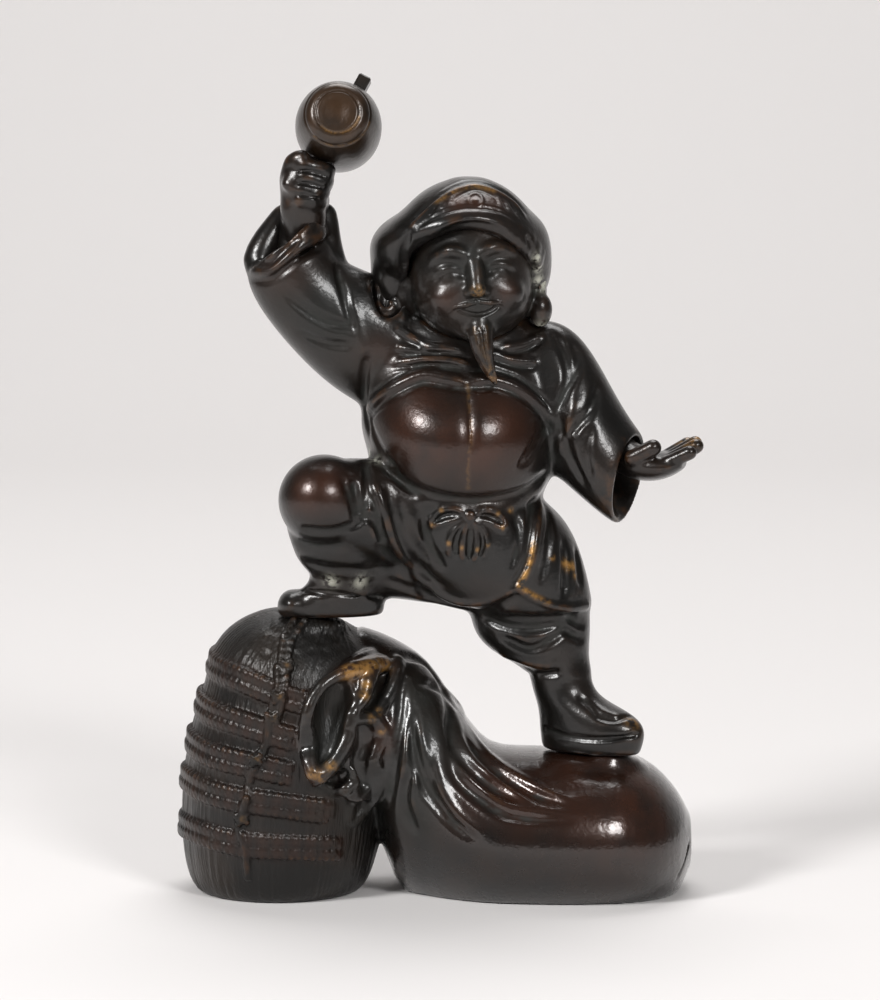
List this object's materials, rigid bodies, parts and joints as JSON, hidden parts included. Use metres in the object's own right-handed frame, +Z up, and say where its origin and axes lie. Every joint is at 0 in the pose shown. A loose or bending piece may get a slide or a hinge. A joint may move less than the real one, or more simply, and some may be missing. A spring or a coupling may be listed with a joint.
{
  "type": "okimono carving",
  "caption": "Bronze lucky-god statuette striding over a rice bale and a treasure sack, raising a loose mallet that draws out of the fist; a shelf ornament that rests on its open base.",
  "frame": {"origin": "on the table, under the middle of the whole statue", "axes": "+Z up, +X to the right of the front view, +Y to the back"},
  "size_m": [0.1678, 0.0762, 0.2619],
  "materials": {
    "bronze_dark": "dark brown-black patina, waxed",
    "bronze_warm": "brown patina worn to a soft shine",
    "bronze_sack": "reddish-brown patina, waxed",
    "bronze_straw": "rough dark patina with dull deposits",
    "bronze_mallet": "brown patina with worn brass edges",
    "brass_fasteners": "plain machined brass"
  },
  "bodies": {
    "statue": {"rice_bale": "bronze_straw", "treasure_sack": "bronze_sack", "base_rivets": "brass_fasteners", "robe_body": "bronze_warm", "robe_skirt": "bronze_dark", "head": "bronze_warm", "cap": "bronze_dark", "right_sleeve": "bronze_dark", "left_sleeve": "bronze_dark", "right_hand": "bronze_warm", "left_hand": "bronze_warm", "right_leg": "bronze_dark", "left_leg": "bronze_dark", "right_boot": "bronze_dark", "left_boot": "bronze_dark", "boot_studs": "brass_fasteners", "boot_washers": "brass_fasteners", "boot_nuts": "brass_fasteners", "joint_pins": "brass_fasteners"},
    "mallet": {"mallet_barrel": "bronze_mallet", "mallet_handle": "bronze_mallet"}
  },
  "joints": [
    {"name": "mallet_draw", "type": "slide", "parent": "statue", "child": "mallet", "axis": [0.4648, 0.2809, 0.8397], "range_m": [0, 0.03]}
  ]
}
